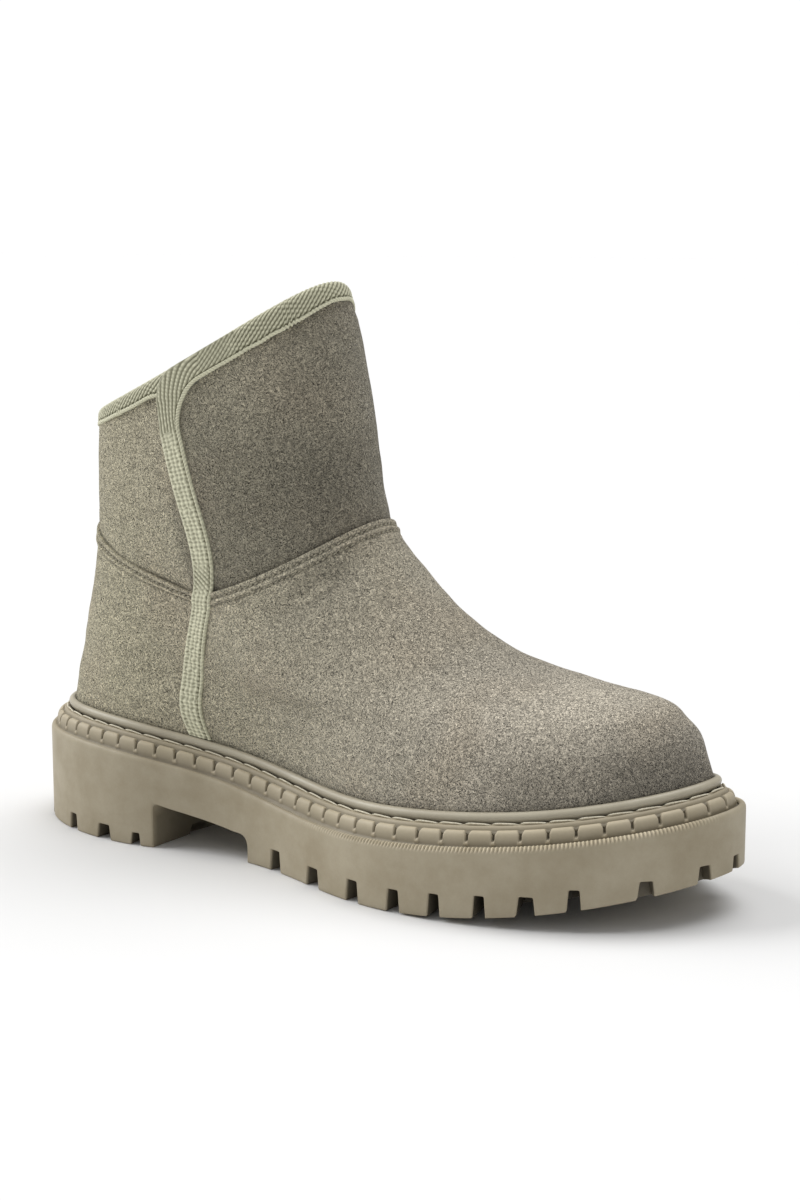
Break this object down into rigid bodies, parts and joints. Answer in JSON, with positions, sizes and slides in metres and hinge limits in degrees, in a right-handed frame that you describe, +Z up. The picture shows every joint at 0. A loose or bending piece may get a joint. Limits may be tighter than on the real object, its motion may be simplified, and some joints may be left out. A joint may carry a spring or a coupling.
{
  "type": "sheepskin boot",
  "caption": "Pull-on ankle boot in suede sheepskin with a slanted bound collar, taped side seams and a chunky lugged unit sole with a beaded, stitched edge.",
  "frame": {"origin": "on the ground, under the middle of the boot's own box", "axes": "+X to the toe, +Y to the inner (medial) side of this right boot, +Z up"},
  "size_m": [0.286, 0.104, 0.2065],
  "materials": {
    "suede": "short greige nap",
    "webbing": "woven twill tape, pale",
    "sole_rubber": "smooth matt moulded tan beige",
    "welt_rubber": "smooth, slightly glossy",
    "fleece": "dense cream pile"
  },
  "bodies": {
    "root": {"outsole": "sole_rubber", "midsole": "sole_rubber", "welt": "welt_rubber", "insole": "fleece", "upper": "suede", "shaft": "suede", "collar_binding": "webbing", "side_tape_lateral": "webbing", "side_tape_medial": "webbing"}
  },
  "joints": []
}
